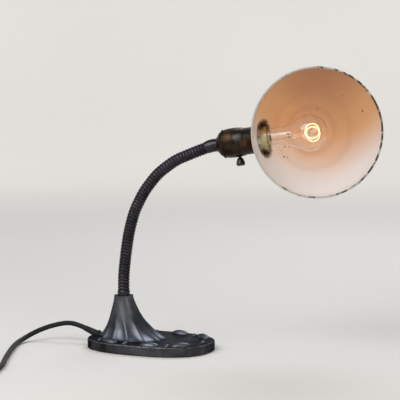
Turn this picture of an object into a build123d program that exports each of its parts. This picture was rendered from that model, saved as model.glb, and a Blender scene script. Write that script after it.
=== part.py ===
from build123d import *
from math import asin, cos, degrees, pi, radians, sin, sqrt, tan
import os

# Desk lamp with a cast base, a ribbed flexible neck, a keyed lampholder and a dished shade.
# Millimetres and degrees, +Z up. The origin is on the table under the column, the neck lies
# in the XZ plane and the shade opens towards -Y.

# Fits
cut_over = 5.0  # how far a cut runs past the face that it opens
slip_gap = 0.1  # round pieces of one body that slide into each other
turn_gap = 0.05  # radial gap of a spindle in its bore
clear_gap = 0.3  # pieces that move past each other

# Cast base: a rounded foot with a fluted horn that carries the neck
base_turn = -16.0
foot_half_length = 80.0
foot_half_width = 55.0
foot_squareness = 2.5
foot_offset = 37.5
foot_top = 12.0
foot_edge = 1.2
foot_lift = 1.0
foot_plate = 4.6
rim_wall = 12.0
outline_points = 32
column_top = 64.0
column_radius = 11.8
horn_sink = 4.0
horn_half_length = 52.0
horn_half_width = 41.0
horn_offset = 15.0
flute_count = 12
flute_depth = 3.4
points_per_flute = 4
# Horn sections from the top down, as shares of its height, its flare, its offset and its flute depth
horn_shares = (
    (1.00, 0.00, 0.00, 0.00),
    (0.88, 0.03, 0.03, 0.00),
    (0.74, 0.10, 0.09, 0.00),
    (0.53, 0.23, 0.22, 0.12),
    (0.37, 0.37, 0.40, 0.42),
    (0.20, 0.57, 0.60, 0.80),
    (0.07, 0.80, 0.83, 1.00),
    (0.00, 1.00, 1.00, 1.00),
)
well_radius = 22.0
well_top = 45.0
well_top_radius = 10.0

# Ovals and beads cast on the foot
oval_half_length = 13.0
oval_half_width = 6.0
bead_radius = 4.0
oval_relief = 4.6
bead_relief = 2.6
boss_embed = 1.0
boss_inset = 9.8
oval_angles = (40.7, 78.3, 116, -40.7, -78.3, -116)
bead_angles = (0, 59.5, 97.3, 135, -59.5, -97.3, -135)

# Felt pad let into the underside
felt_thickness = 2.2
felt_inset = 5.0

# Threaded nipple, its washer and nut, and the collar under the neck
nipple_radius = 5.0
nipple_bore = 3.2
nipple_drop = 11.0
washer_radius = 8.5
washer_thickness = 1.6
lock_nut_flats = 15.0
lock_nut_height = 5.0
collar_radius = 8.3
collar_height = 6.0
collar_step = 0.9

# Ribbed neck: links with ball ends, each a straight seat and an arc
rib_pitch = 3.93
rib_crest = 7.35
rib_valley = 6.6
rib_shares = (0.15, 0.30, 0.70, 0.85)
ribs_in_seat = 2
ribs_in_arc = 5
neck_bore = 4.0
ball_cover = 0.85
neck_leans = (0.0, 5.9, 8.5, 14.8, 26.5, 37.9, 52.7, 67.5, 69.0)

# Flex inside the neck
flex_radius = 2.4
flex_rise = 1.5

# Bent ferrule between the neck and the lampholder
head_lean = 82.4
ferrule_seat = 9.0
ferrule_bend = 5.0
ferrule_end = 6.0
ferrule_root_radius = 7.6
ferrule_radius = 8.0
ferrule_flare_radius = 10.0
ferrule_flare_share = 0.4
ferrule_edge = 0.4
spigot_length = 5.0
set_screw_radius = 1.3
set_screw_back = 2.8
set_screw_sink = 0.4

# Lampholder cap and shell
cap_depth = 7.2
cap_lip = 3.8
cap_bead = 0.6
cap_bead_width = 1.4
cap_roundness_share = 0.62
cap_neck_radius = 10.2
shell_wall = 0.7
shell_barrel = 25.0
shell_belly_rise = 1.3
shell_barrel_step = 0.5
shell_skirt = 15.0
shell_skirt_step = 1.0
shell_thread = 13.3
liner_wall = 0.5
liner_fit = 0.2
screw_wall = 0.5
porcelain_length = 22.1
porcelain_flange = 2.5
porcelain_wire_bore = 2.8
contact_radius = 4.5
contact_height = 4.3
contact_leaf = 0.6
contact_nose_share = 0.5
terminal_offset = 8.0
terminal_radius = 1.6
terminal_head_radius = 2.6
terminal_head = 1.6
terminal_shank = 6.0

# Turn switch
key_place = 24.0
spindle_radius = 2.0
spindle_root = 4.0
knob_start = 19.2
knob_length = 9.6
knob_radius = 5.6
knob_neck_radius = 2.9
knob_end_radius = 4.4
knob_bore_share = 0.55

# Bulb
bulb_cap_radius = 13.0
bulb_screw_gap = 0.3
bulb_length = 98.5
bulb_radius = 22.5
bulb_glass_wall = 0.8
bulb_neck_radius = 11.9
bulb_skirt = 3.5
bulb_cap_wall = 0.4
bulb_cap_length = 22.5
bulb_tip_radius = 4.4
bulb_tip_height = 1.5
bulb_insulator_height = 3.1
bulb_insulator_radius = 10.4
bulb_neck_length = 8.0
bulb_shoulder_lean = 40.0
stem_radius = 4.0
stem_top_share = 0.9
stem_button_radius = 2.6
filament_share = 0.45
filament_wire = 0.35
filament_turns = 3
filament_pitch = 4.0
filament_place_share = 0.2
support_wire = 0.4
support_spread = 1.6

# Shade and the ring that holds it
shade_radius = 76.0
shade_depth = 102.5
dome_round_share = 0.5523
shade_wall = 0.8
shade_skirt = 3.0
shade_bead = 1.2
shade_stand = 6.0
shade_mouth = 46.0
shade_collar_radius = 21.0
shade_hub_wall = 0.8
ring_nut_wall = 3.5
ring_nut_height = 4.5
ring_nut_slots = 4
ring_nut_slot_width = 3.0
ring_nut_slot_depth = 1.4

# Cord, its grommet, its coil and its plug
cord_radius = 3.1
grommet_place = 36.5
grommet_height = 11.6
grommet_rise = 20.0
grommet_radius = 4.6
grommet_flange_radius = 5.8
grommet_flange = 1.6
grommet_sink = 1.0
grommet_boot = 20.0
grommet_tip_radius = 3.5
grommet_inner = 10.0
cord_straight = 10.0
cord_route = [
    (-76, 21.8, 23.7),
    (-91, 25.5, 20.6),
    (-105.5, 24, 16.6),
    (-119.5, 16.3, 11),
    (-129, 4, 5.6),
    (-133, -13, 3.2),
    (-131, -38, 3.2),
    (-126, -72, 3.2),
    (-119, -114, 3.2),
    (-110.5, -154, 3.2),
]
coil_lead_in = 29.0
coil_turns = 3
coil_radius = 47.0
coil_space = 0.6
coil_centre_x = -157.0
coil_centre_y = -225.0
tie_width = 5.0
tie_wall = 0.8
tie_gap = 0.2
tie_corner = 2.0
relief_length = 24.0
relief_radius = 3.6
relief_end_radius = 5.5
plug_radius = 10.4
plug_neck_radius = 7.5
plug_length = 32.0
plug_shoulder = 9.0
blade_length = 17.0
blade_width = 6.35
blade_thickness = 1.5
blade_spacing = 12.7
blade_hold = 6.0

os.makedirs("parts", exist_ok=True)


def save(piece, name):
    """Name a finished piece and write its file."""
    piece.label = name
    export_step(piece, f"parts/{name}.step")


def along(lean):
    """Direction in the neck's plane that leans from upright towards +X."""
    return Vector(sin(radians(lean)), 0, cos(radians(lean)))


def profile_plane(origin, lean):
    """Plane of a turned profile: X is the radius and Y runs along the leaning axis."""
    return Plane(origin, x_dir=(-cos(radians(lean)), 0, sin(radians(lean))), z_dir=(0, 1, 0))


def cross_plane(origin, lean):
    """Plane square to the leaning axis, with a steady X axis."""
    return Plane(origin, x_dir=(0, 1, 0), z_dir=along(lean))


def sphere_height(radius, off_axis):
    """Height above the centre of a ball at a distance from its axis."""
    return sqrt(radius**2 - off_axis**2)


def power(value, exponent):
    """Signed power, for the rounded outline of the foot."""
    return abs(value) ** exponent * (1 if value >= 0 else -1)


def foot_point(angle, inset):
    """Point of the foot's outline, drawn in by an inset, on the base's own axes."""
    flat = 2 / foot_squareness
    return (
        foot_offset + (foot_half_length - inset) * power(cos(radians(angle)), flat),
        (foot_half_width - inset) * power(sin(radians(angle)), flat),
    )


def foot_outline(inset):
    """Points round the foot's outline."""
    return [foot_point(360 * step / outline_points, inset) for step in range(outline_points)]


def horn_outline(flare_share, offset_share, flute_share):
    """Points round one section of the horn, drawn in between its ridges."""
    half_length = column_radius + (horn_half_length - column_radius) * flare_share
    half_width = column_radius + (horn_half_width - column_radius) * flare_share
    points = []
    for step in range(flute_count * points_per_flute):
        angle = 2 * pi * step / (flute_count * points_per_flute)
        depth = flute_depth * flute_share * abs(cos(angle * flute_count / 2))
        across = (half_width - depth) * sin(angle)
        points.append((horn_offset * offset_share + (half_length - depth) * cos(angle), across))
    return points


base_plane = Plane((0, 0, 0), x_dir=(cos(radians(base_turn)), sin(radians(base_turn)), 0), z_dir=(0, 0, 1))
horn_root = foot_top - horn_sink
plate_underside = foot_top - foot_plate
felt_top = felt_thickness

# Grommet axis: out of the heel and upwards, on the base's long axis
grommet_seat = base_plane.from_local_coords(Vector(-grommet_place, 0, grommet_height))
grommet_way = Vector(*base_plane.x_dir) * -cos(radians(grommet_rise)) + Vector(0, 0, sin(radians(grommet_rise)))
grommet_plane = Plane(grommet_seat, x_dir=base_plane.y_dir, z_dir=grommet_way)

# Boss of an oval: a dome that is an arc across and an ellipse along
boss_round = (oval_half_width**2 + oval_relief**2) / (2 * oval_relief)
boss_sink = boss_round - oval_relief
boss_reach = oval_half_length * boss_round / oval_half_width
with BuildPart() as oval_boss:
    with BuildSketch(Plane.XZ):
        with BuildLine():
            rise = EllipticalCenterArc((0, -boss_sink), boss_reach, boss_round, start_angle=0, arc_size=180)
            Line(rise @ 1, rise @ 0)
        make_face()
    revolve(axis=Axis((0, 0, -boss_sink), (1, 0, 0)))
    split(bisect_by=Plane.XY.offset(-boss_embed), keep=Keep.TOP)

# Boss of a bead: a low round dome
bead_round = (bead_radius**2 + bead_relief**2) / (2 * bead_relief)
with BuildPart() as bead_boss:
    with Locations((0, 0, bead_relief - bead_round)):
        Sphere(bead_round)
    split(bisect_by=Plane.XY.offset(-boss_embed), keep=Keep.TOP)


def boss_place(angle):
    """Place on the foot's top, with X along the rim."""
    here = Vector(*foot_point(angle, boss_inset), foot_top)
    ahead = Vector(*foot_point(angle + 1, boss_inset), foot_top)
    origin = base_plane.from_local_coords(here)
    return Location(Plane(origin, x_dir=base_plane.from_local_coords(ahead) - origin, z_dir=(0, 0, 1)))


# Base casting
with BuildPart() as base_casting:
    with BuildSketch(base_plane.offset(foot_lift)):
        with BuildLine():
            Spline(*foot_outline(0), periodic=True)
        make_face()
    extrude(amount=foot_top - foot_lift)
    chamfer(base_casting.faces().sort_by(Axis.Z)[-1].edges(), foot_edge)
    for height_share, flare_share, offset_share, flute_share in horn_shares:
        with BuildSketch(base_plane.offset(horn_root + (column_top - horn_root) * height_share)):
            with BuildLine():
                Spline(*horn_outline(flare_share, offset_share, flute_share), periodic=True)
            make_face()
    loft()
    with Locations(*[boss_place(angle) for angle in oval_angles]):
        add(oval_boss.part)
    with Locations(*[boss_place(angle) for angle in bead_angles]):
        add(bead_boss.part)
    # Recess for the felt, the hollow under the plate and the well under the column
    with BuildSketch(base_plane.offset(foot_lift - cut_over)):
        with BuildLine():
            Spline(*foot_outline(felt_inset), periodic=True)
        make_face()
    extrude(amount=felt_top - foot_lift + cut_over, mode=Mode.SUBTRACT)
    with BuildSketch(base_plane):
        with BuildLine():
            Spline(*foot_outline(rim_wall), periodic=True)
        make_face()
    extrude(amount=plate_underside, mode=Mode.SUBTRACT)
    with BuildSketch(Plane.XZ):
        with BuildLine():
            Polyline(
                (0, felt_top),
                (well_radius, felt_top),
                (well_radius, plate_underside),
                (well_top_radius, well_top),
                (0, well_top),
                close=True,
            )
        make_face()
    revolve(axis=Axis.Z, mode=Mode.SUBTRACT)
    # Bore for the nipple
    with BuildSketch(Plane.XY.offset(well_top - cut_over)):
        Circle(nipple_radius + slip_gap)
    extrude(amount=column_top - well_top + 2 * cut_over, mode=Mode.SUBTRACT)
    # Hole and spot face for the cord's grommet
    with BuildSketch(grommet_plane.offset(-grommet_inner - 2 * cut_over)):
        Circle(grommet_radius + slip_gap)
    extrude(amount=grommet_inner + 3 * cut_over, mode=Mode.SUBTRACT)
    with BuildSketch(grommet_plane.offset(-grommet_sink)):
        Circle(grommet_flange_radius + slip_gap)
    extrude(amount=grommet_boot, mode=Mode.SUBTRACT)
save(base_casting.part, "base_casting")

# Felt pad
with BuildPart() as felt_pad:
    with BuildSketch(base_plane):
        with BuildLine():
            Spline(*foot_outline(felt_inset + slip_gap), periodic=True)
        make_face()
    extrude(amount=felt_thickness)
save(felt_pad.part, "felt_pad")

# Nipple that runs through the column, with its washer and nut inside and the collar on top
with BuildPart() as neck_nipple:
    with BuildSketch(Plane.XY.offset(well_top - nipple_drop)):
        Circle(nipple_radius)
        Circle(nipple_bore, mode=Mode.SUBTRACT)
    extrude(amount=column_top + collar_height - well_top + nipple_drop)
save(neck_nipple.part, "neck_nipple")

with BuildPart() as lock_washer:
    with BuildSketch(Plane.XY.offset(well_top - washer_thickness)):
        Circle(washer_radius)
        Circle(nipple_radius + slip_gap, mode=Mode.SUBTRACT)
    extrude(amount=washer_thickness)
save(lock_washer.part, "lock_washer")

with BuildPart() as lock_nut:
    with BuildSketch(Plane.XY.offset(well_top - washer_thickness - lock_nut_height)):
        RegularPolygon(lock_nut_flats / 2, 6, major_radius=False)
        Circle(nipple_radius + slip_gap, mode=Mode.SUBTRACT)
    extrude(amount=lock_nut_height)
save(lock_nut.part, "lock_nut")

neck_start = Vector(0, 0, column_top + collar_height)
collar_neck = collar_radius - collar_step
with BuildPart() as neck_collar:
    with BuildSketch(Plane.XZ):
        with BuildLine():
            Polyline(
                (nipple_radius + slip_gap, column_top),
                (collar_radius, column_top),
                (collar_radius, column_top + collar_step),
                (collar_neck, column_top + collar_step),
                (collar_neck, column_top + collar_height / 2),
                (collar_radius - collar_step / 2, column_top + collar_height / 2),
                (collar_radius - collar_step / 2, column_top + collar_height - collar_step),
                (collar_neck, column_top + collar_height),
                (nipple_radius + slip_gap, column_top + collar_height),
                close=True,
            )
        make_face()
    revolve(axis=Axis.Z)
save(neck_collar.part, "neck_collar")

# Neck path: pivots, and the ends of the straight seats above them
seat_run = ribs_in_seat * rib_pitch
arc_run = ribs_in_arc * rib_pitch
link_count = len(neck_leans) - 1
rib_radii = (rib_valley, rib_crest, rib_crest, rib_valley)
ball_radius = rib_crest + ball_cover
seat_ball = ball_radius + clear_gap


def arc_point(start, lean_from, lean_to, whole_run, run):
    """Point and lean at a run along the arc that turns from one lean to the next."""
    rate = radians(lean_to - lean_from) / whole_run
    first = radians(lean_from)
    last = first + rate * run
    point = start + Vector((cos(first) - cos(last)) / rate, 0, (sin(last) - sin(first)) / rate)
    return point, degrees(last)


pivots = [neck_start]
seat_ends = []
for lean_from, lean_to in zip(neck_leans, neck_leans[1:]):
    seat_ends.append(pivots[-1] + along(lean_from) * seat_run)
    pivots.append(arc_point(seat_ends[-1], lean_from, lean_to, arc_run, arc_run)[0])


def rib_points(first, count):
    """Profile points of ribs on a straight stretch."""
    return [
        (radius, (first + rib + share) * rib_pitch)
        for rib in range(count)
        for share, radius in zip(rib_shares, rib_radii)
    ]


def ball_arc(radius, inner, outer):
    """Arc of a ball's profile from one radius to another, centred on the pivot."""
    middle = (asin(inner / radius) + asin(outer / radius)) / 2
    return ThreePointArc(
        (inner, sphere_height(radius, inner)),
        (radius * sin(middle), radius * cos(middle)),
        (outer, sphere_height(radius, outer)),
    )


# Ribbed links: a hollow seat below (the first stands on the collar), ribs along the arc and
# a ball nose above
for index in range(link_count):
    lean_from = neck_leans[index]
    lean_to = neck_leans[index + 1]
    with BuildPart() as neck_link:
        with BuildSketch(profile_plane(pivots[index], lean_from)):
            with BuildLine():
                if index == 0:
                    Polyline(
                        (0, 0),
                        (rib_valley, 0),
                        *rib_points(0, ribs_in_seat),
                        (rib_valley, seat_run),
                        (0, seat_run),
                        close=True,
                    )
                else:
                    ball_arc(seat_ball, neck_bore, rib_crest)
                    Polyline(
                        (rib_crest, sphere_height(seat_ball, rib_crest)),
                        *rib_points(ribs_in_seat - 1, 1)[2:],
                        (rib_valley, seat_run),
                        (neck_bore, seat_run),
                        (neck_bore, sphere_height(seat_ball, neck_bore)),
                    )
            make_face()
        revolve(axis=Axis(pivots[index], along(lean_from)))
        stations = [(0, rib_valley)]
        stations += [(run, radius) for radius, run in rib_points(0, ribs_in_arc)]
        stations += [(arc_run, rib_valley)]
        for run, radius in stations:
            with BuildSketch(cross_plane(*arc_point(seat_ends[index], lean_from, lean_to, arc_run, run))):
                Circle(radius)
        loft(ruled=True)
        with BuildSketch(profile_plane(pivots[index + 1], lean_to)):
            with BuildLine():
                Polyline(
                    (0, ball_radius),
                    (0, 0),
                    (rib_valley, 0),
                    *rib_points(0, 1),
                    (rib_valley, sphere_height(ball_radius, rib_valley)),
                )
                ball_arc(ball_radius, 0, rib_valley)
            make_face()
        revolve(axis=Axis(pivots[index + 1], along(lean_to)))
        # Bore
        with BuildLine():
            Line(pivots[index] - along(lean_from) * cut_over, seat_ends[index])
            ThreePointArc(
                seat_ends[index],
                arc_point(seat_ends[index], lean_from, lean_to, arc_run, arc_run / 2)[0],
                pivots[index + 1],
            )
            Line(pivots[index + 1], pivots[index + 1] + along(lean_to) * (ball_radius + cut_over))
        with BuildSketch(cross_plane(pivots[index] - along(lean_from) * cut_over, lean_from)):
            Circle(neck_bore)
        sweep(mode=Mode.SUBTRACT)
    save(neck_link.part, f"neck_link_{index + 1}")

# Head axis: the ferrule turns from the neck's last lean to it, and the lampholder's cap starts
# where the ferrule ends
ferrule_lean = neck_leans[-1]
bend_start = pivots[-1] + along(ferrule_lean) * ferrule_seat
bend_middle = arc_point(bend_start, ferrule_lean, head_lean, ferrule_bend, ferrule_bend / 2)[0]
bend_end = arc_point(bend_start, ferrule_lean, head_lean, ferrule_bend, ferrule_bend)[0]
head = bend_end + along(head_lean) * ferrule_end
head_axis = Axis(head, along(head_lean))
head_plane = profile_plane(head, head_lean)
head_up = Vector(-cos(radians(head_lean)), 0, sin(radians(head_lean)))


def head_point(place):
    """Point on the head axis, counted from the cap's start."""
    return head + along(head_lean) * place


# Upper ferrule: a seat for the last ball, a bend, and a flared end with a socket for the cap's spigot
with BuildPart() as upper_ferrule:
    with BuildSketch(profile_plane(pivots[-1], ferrule_lean)):
        with BuildLine():
            ball_arc(seat_ball, neck_bore, rib_crest)
            Polyline(
                (rib_crest, sphere_height(seat_ball, rib_crest)),
                (ferrule_root_radius, sphere_height(seat_ball, rib_crest) + ferrule_edge),
                (ferrule_radius, ferrule_seat),
                (neck_bore, ferrule_seat),
                (neck_bore, sphere_height(seat_ball, neck_bore)),
            )
        make_face()
    revolve(axis=Axis(pivots[-1], along(ferrule_lean)))
    with BuildLine():
        ThreePointArc(bend_start, bend_middle, bend_end)
    with BuildSketch(cross_plane(bend_start, ferrule_lean)):
        Circle(ferrule_radius)
    sweep()
    with BuildSketch(head_plane):
        with BuildLine():
            Polyline(
                (0, -ferrule_end),
                (ferrule_radius, -ferrule_end),
                (ferrule_radius, -ferrule_end * ferrule_flare_share),
                (ferrule_flare_radius, -ferrule_edge),
                (ferrule_flare_radius - ferrule_edge, 0),
                (0, 0),
                close=True,
            )
        make_face()
    revolve(axis=head_axis)
    # Bore, socket for the spigot and hole for the set screw
    with BuildLine():
        Line(pivots[-1], bend_start)
        ThreePointArc(bend_start, bend_middle, bend_end)
        Line(bend_end, head_point(cut_over))
    with BuildSketch(cross_plane(pivots[-1], ferrule_lean)):
        Circle(neck_bore)
    sweep(mode=Mode.SUBTRACT)
    with BuildSketch(cross_plane(head_point(-spigot_length), head_lean)):
        Circle(nipple_radius + slip_gap)
    extrude(amount=spigot_length + cut_over, mode=Mode.SUBTRACT)
    with BuildSketch(Plane(head_point(-set_screw_back), x_dir=along(head_lean), z_dir=(0, 1, 0))):
        Circle(set_screw_radius + slip_gap)
    extrude(amount=ferrule_flare_radius + cut_over, mode=Mode.SUBTRACT)
save(upper_ferrule.part, "upper_ferrule")

with BuildPart() as set_screw:
    with BuildSketch(Plane(head_point(-set_screw_back), x_dir=along(head_lean), z_dir=(0, 1, 0)).offset(nipple_radius)):
        Circle(set_screw_radius)
    extrude(amount=ferrule_radius - set_screw_sink - nipple_radius)
save(set_screw.part, "set_screw")

# Radii from the bulb's cap outwards: screw shell, liner and shell
screw_inner = bulb_cap_radius + bulb_screw_gap
screw_outer = screw_inner + screw_wall
liner_inner = screw_outer + liner_fit
liner_outer = liner_inner + liner_wall
thread_inner = liner_outer + liner_fit
thread_radius = thread_inner + shell_wall
shell_skirt_radius = thread_radius + shell_skirt_step
shell_barrel_end = shell_skirt_radius + shell_barrel_step
shell_belly = shell_barrel_end + shell_belly_rise

# Places along the head axis
shell_start = cap_depth + liner_fit
shell_step = shell_start + shell_barrel
shade_shoulder = shell_step + shell_skirt
shell_end = shade_shoulder + shell_thread
lip_end = cap_depth + cap_lip
lip_outer = shell_barrel_end - shell_wall - clear_gap
lip_inner = lip_outer - shell_wall
porcelain_start = lip_end - porcelain_flange
porcelain_end = porcelain_start + porcelain_length
screw_start = porcelain_end + liner_fit
bulb_tip = screw_start + contact_height + clear_gap

# Cap: spun dome with a bead at its edge, a lip inside the shell and a spigot in the ferrule
dome_top = cap_depth - cap_bead_width
dome_rise = (lip_outer - cap_neck_radius) * cap_roundness_share
dome_inner_rise = (lip_inner - cap_neck_radius) * cap_roundness_share
dome_middle = dome_top * (1 - cap_roundness_share)
with BuildPart() as socket_cap:
    with BuildSketch(head_plane):
        with BuildLine():
            dome = ThreePointArc(
                (cap_neck_radius, 0), (cap_neck_radius + dome_rise, dome_middle), (lip_outer, dome_top)
            )
            inner_dome = ThreePointArc(
                (cap_neck_radius, shell_wall),
                (cap_neck_radius + dome_inner_rise, dome_middle + shell_wall),
                (lip_inner, dome_top + shell_wall),
            )
            Polyline(
                dome @ 1,
                (shell_barrel_end + cap_bead, dome_top),
                (shell_barrel_end + cap_bead, cap_depth),
                (lip_outer, cap_depth),
                (lip_outer, lip_end),
                (lip_inner, lip_end),
                inner_dome @ 1,
            )
            Polyline(
                inner_dome @ 0,
                (nipple_bore, shell_wall),
                (nipple_bore, -spigot_length),
                (nipple_radius, -spigot_length),
                (nipple_radius, 0),
                dome @ 0,
            )
        make_face()
    revolve(axis=head_axis)
save(socket_cap.part, "socket_cap")

# Turn switch axis: square to the head axis, downwards
key_point = head_point(key_place)
key_way = -head_up
key_profile = Plane(key_point, x_dir=along(head_lean), z_dir=(0, 1, 0))
key_plane = Plane(key_point, x_dir=(0, 1, 0), z_dir=key_way)

# Shell: a bellied barrel, a skirt and a threaded end that goes through the shade
with BuildPart() as socket_shell:
    with BuildSketch(head_plane):
        with BuildLine():
            belly = ThreePointArc(
                (shell_barrel_end, shell_start),
                (shell_belly, shell_start + shell_barrel / 2),
                (shell_barrel_end, shell_step),
            )
            inner_belly = ThreePointArc(
                (shell_barrel_end - shell_wall, shell_start),
                (shell_belly - shell_wall, shell_start + shell_barrel / 2),
                (shell_barrel_end - shell_wall, shell_step),
            )
            Line(belly @ 0, inner_belly @ 0)
            Polyline(
                belly @ 1,
                (shell_skirt_radius, shell_step),
                (shell_skirt_radius, shade_shoulder),
                (thread_radius, shade_shoulder),
                (thread_radius, shell_end),
                (thread_inner, shell_end),
                (thread_inner, shade_shoulder - shell_wall),
                (shell_skirt_radius - shell_wall, shade_shoulder - shell_wall),
                (shell_skirt_radius - shell_wall, shell_step),
                inner_belly @ 1,
            )
        make_face()
    revolve(axis=head_axis)
    with BuildSketch(key_plane):
        Circle(spindle_radius + clear_gap)
    extrude(amount=shell_belly + cut_over, mode=Mode.SUBTRACT)
save(socket_shell.part, "socket_shell")

with BuildPart() as insulating_liner:
    with BuildSketch(cross_plane(head_point(lip_end + liner_fit), head_lean)):
        Circle(liner_outer)
        Circle(liner_inner, mode=Mode.SUBTRACT)
    extrude(amount=shell_end - liner_fit - lip_end - liner_fit)
    with BuildSketch(key_plane):
        Circle(spindle_radius + clear_gap)
    extrude(amount=shell_belly + cut_over, mode=Mode.SUBTRACT)
save(insulating_liner.part, "insulating_liner")

# Porcelain body: flanged under the cap, bored for the flex, the terminals and the spindle
terminal_points = [(-terminal_offset, 0), (terminal_offset, 0)]
with BuildPart() as socket_body:
    with BuildSketch(head_plane):
        with BuildLine():
            Polyline(
                (porcelain_wire_bore, porcelain_start),
                (lip_inner - slip_gap, porcelain_start),
                (lip_inner - slip_gap, lip_end),
                (screw_outer, lip_end),
                (screw_outer, porcelain_end),
                (0, porcelain_end),
                (0, key_place - spindle_root),
                (porcelain_wire_bore, key_place - spindle_root),
                close=True,
            )
        make_face()
    revolve(axis=head_axis)
    with BuildSketch(key_plane.offset(spindle_root)):
        Circle(spindle_radius + turn_gap)
    extrude(amount=screw_outer, mode=Mode.SUBTRACT)
    with BuildSketch(cross_plane(head_point(porcelain_start - cut_over), head_lean)):
        with Locations(*terminal_points):
            Circle(terminal_radius + slip_gap)
    extrude(amount=cut_over + terminal_shank, mode=Mode.SUBTRACT)
save(socket_body.part, "socket_body")

with BuildPart() as terminal_screws:
    with BuildSketch(cross_plane(head_point(porcelain_start - terminal_head), head_lean)):
        with Locations(*terminal_points):
            Circle(terminal_head_radius)
    extrude(amount=terminal_head)
    with BuildSketch(cross_plane(head_point(porcelain_start), head_lean)):
        with Locations(*terminal_points):
            Circle(terminal_radius)
    extrude(amount=terminal_shank)
save(terminal_screws.part, "terminal_screws")

with BuildPart() as screw_shell:
    with BuildSketch(head_plane):
        with BuildLine():
            Polyline(
                (contact_radius + clear_gap, screw_start),
                (screw_outer, screw_start),
                (screw_outer, shell_end - liner_fit),
                (screw_inner, shell_end - liner_fit),
                (screw_inner, screw_start + screw_wall),
                (contact_radius + clear_gap, screw_start + screw_wall),
                close=True,
            )
        make_face()
    revolve(axis=head_axis)
save(screw_shell.part, "screw_shell")

with BuildPart() as centre_contact:
    with BuildSketch(head_plane):
        with BuildLine():
            Polyline(
                (0, screw_start),
                (contact_radius, screw_start),
                (contact_radius, screw_start + contact_leaf),
                (contact_radius * contact_nose_share, screw_start + contact_height - contact_leaf),
                (0, screw_start + contact_height),
                close=True,
            )
        make_face()
    revolve(axis=head_axis)
save(centre_contact.part, "centre_contact")

# Turn switch: spindle in the porcelain and a bell-shaped knob
knob_end = knob_start + knob_length
knob_bore_end = knob_start + knob_length * knob_bore_share
with BuildPart() as switch_spindle:
    with BuildSketch(key_plane.offset(spindle_root + slip_gap)):
        Circle(spindle_radius)
    extrude(amount=knob_bore_end - spindle_root - 2 * slip_gap)
save(switch_spindle.part, "switch_spindle")

with BuildPart() as switch_knob:
    with BuildSketch(key_profile):
        with BuildLine():
            flare = ThreePointArc(
                (knob_neck_radius, knob_start),
                ((knob_neck_radius + knob_radius) / 2, (knob_start + knob_bore_end) / 2),
                (knob_radius, knob_end - (knob_radius - knob_end_radius) * 2),
            )
            Polyline(
                flare @ 1,
                (knob_end_radius, knob_end),
                (0, knob_end),
                (0, knob_bore_end),
                (spindle_radius + turn_gap, knob_bore_end),
                (spindle_radius + turn_gap, knob_start),
                flare @ 0,
            )
        make_face()
    revolve(axis=Axis(key_point, key_way))
save(switch_knob.part, "switch_knob")

# Bulb places along the head axis
insulator_start = bulb_tip + bulb_tip_height
bulb_cap_start = insulator_start + bulb_insulator_height
skirt_start = bulb_cap_start + bulb_cap_length - bulb_skirt
bulb_cap_end = bulb_cap_start + bulb_cap_length
glass_start = skirt_start + bulb_cap_wall
bulb_end = bulb_tip + bulb_length
globe_centre = bulb_end - bulb_radius
cap_inner = bulb_cap_radius - bulb_cap_wall

with BuildPart() as bulb_contact:
    with BuildSketch(head_plane):
        with BuildLine():
            tip = ThreePointArc(
                (0, bulb_tip),
                (bulb_tip_radius / 2, bulb_tip + bulb_tip_height / 4),
                (bulb_tip_radius, insulator_start),
            )
            Polyline(tip @ 1, (0, insulator_start), tip @ 0)
        make_face()
    revolve(axis=head_axis)
save(bulb_contact.part, "bulb_contact")

with BuildPart() as bulb_insulator:
    with BuildSketch(head_plane):
        with BuildLine():
            Polyline(
                (0, insulator_start),
                (bulb_tip_radius, insulator_start),
                (bulb_insulator_radius, bulb_cap_start),
                (0, bulb_cap_start),
                close=True,
            )
        make_face()
    revolve(axis=head_axis)
save(bulb_insulator.part, "bulb_insulator")

with BuildPart() as bulb_cap:
    with BuildSketch(head_plane):
        with BuildLine():
            Polyline(
                (stem_radius, bulb_cap_start),
                (bulb_insulator_radius, bulb_cap_start),
                (bulb_cap_radius, bulb_cap_start + bulb_insulator_height),
                (bulb_cap_radius, bulb_cap_end),
                (cap_inner, bulb_cap_end),
                (cap_inner, bulb_cap_start + bulb_insulator_height),
                (bulb_insulator_radius, bulb_cap_start + bulb_cap_wall),
                (stem_radius, bulb_cap_start + bulb_cap_wall),
                close=True,
            )
        make_face()
    revolve(axis=head_axis)
save(bulb_cap.part, "bulb_cap")


def glass_curve(wall):
    """Profile of the glass from the neck's end to the top of the globe, drawn in by a wall."""
    neck = bulb_neck_radius - wall
    globe = bulb_radius - wall
    shoulder = radians(bulb_shoulder_lean)
    neck_line = Line((neck, glass_start), (neck, glass_start + bulb_neck_length))
    join = (globe * cos(shoulder), globe_centre - globe * sin(shoulder))
    shoulder_line = Spline(
        neck_line @ 1, join, tangents=((0, 1), (sin(shoulder), cos(shoulder)))
    )
    crown = (globe * cos(shoulder), globe_centre + globe * sin(shoulder))
    globe_line = ThreePointArc(shoulder_line @ 1, crown, (0, globe_centre + globe))
    return neck_line @ 0, globe_line @ 1


with BuildPart() as bulb_glass:
    with BuildSketch(head_plane):
        with BuildLine():
            outer_start, outer_end = glass_curve(0)
            inner_start, inner_end = glass_curve(bulb_glass_wall)
            Line(outer_start, inner_start)
            Line(outer_end, inner_end)
        make_face()
    revolve(axis=head_axis)
save(bulb_glass.part, "bulb_glass")

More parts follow.
